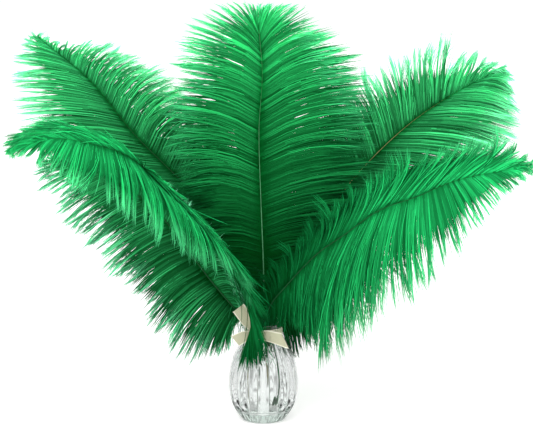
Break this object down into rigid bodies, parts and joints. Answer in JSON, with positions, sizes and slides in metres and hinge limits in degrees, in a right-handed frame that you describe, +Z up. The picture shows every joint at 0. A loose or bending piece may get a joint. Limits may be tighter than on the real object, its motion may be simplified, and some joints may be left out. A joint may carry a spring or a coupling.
{
  "type": "ostrich feathers in a glass vase",
  "caption": "Dyed ostrich feathers fanned out in a small clear fluted glass vase, with a ribbon bow tied round its neck. It stands on its flat base as a table decoration.",
  "frame": {"origin": "centre of the vase's flat underside, on the surface it stands on", "axes": "+Z up, the front with the bow's knot faces -Y, +X to the viewer's right"},
  "size_m": [0.4858, 0.1695, 0.3664],
  "materials": {
    "fluted_glass": "gloss",
    "cream_ribbon": "satin",
    "rich_green_plume": "satin",
    "deep_green_plume": "satin",
    "bright_green_plume": "satin"
  },
  "bodies": {
    "root": {"vase": "fluted_glass", "ribbon_bow": "cream_ribbon", "feather_rear_centre": "rich_green_plume", "feather_rear_left": "deep_green_plume", "feather_rear_right": "deep_green_plume", "feather_lower_left": "deep_green_plume", "feather_front_left": "bright_green_plume", "feather_front_right": "bright_green_plume"}
  },
  "joints": []
}
